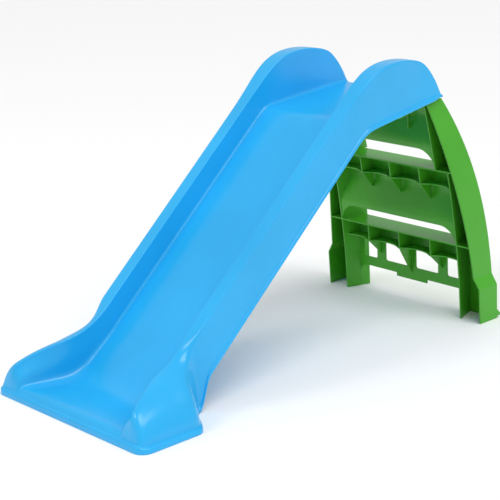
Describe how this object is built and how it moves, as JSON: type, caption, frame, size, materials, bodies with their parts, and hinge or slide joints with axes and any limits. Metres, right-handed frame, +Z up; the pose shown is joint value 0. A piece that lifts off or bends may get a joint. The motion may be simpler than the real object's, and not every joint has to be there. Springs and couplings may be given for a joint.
{
  "type": "toddler slide",
  "caption": "Small folding slide for toddlers: a one-piece chute with side walls and handrail humps on a two-step ladder that folds under it.",
  "frame": {"origin": "on the floor under the middle of the slide's bounding box", "axes": "+Z up; +Y from the exit of the slide back to the ladder; +X to the right of a person who stands at the exit and looks back at the ladder"},
  "size_m": [0.46, 0.9825, 0.5775],
  "materials": {
    "chute_plastic": "light blue polypropylene, moulded, semi-gloss",
    "ladder_plastic": "leaf green polypropylene, moulded, semi-gloss",
    "washer_steel": "zinc-plated",
    "screw_steel": "zinc-plated"
  },
  "bodies": {
    "chute": {"slide_chute": "chute_plastic", "left_pivot_washer": "washer_steel", "right_pivot_washer": "washer_steel", "left_pivot_screw": "screw_steel", "right_pivot_screw": "screw_steel"},
    "ladder": {"ladder_frame": "ladder_plastic"}
  },
  "joints": [
    {"name": "ladder_fold", "type": "hinge", "parent": "chute", "child": "ladder", "pos_m": [0, 0.277, 0.47], "axis": [-1, 0, 0], "range_deg": [0, 75]}
  ]
}
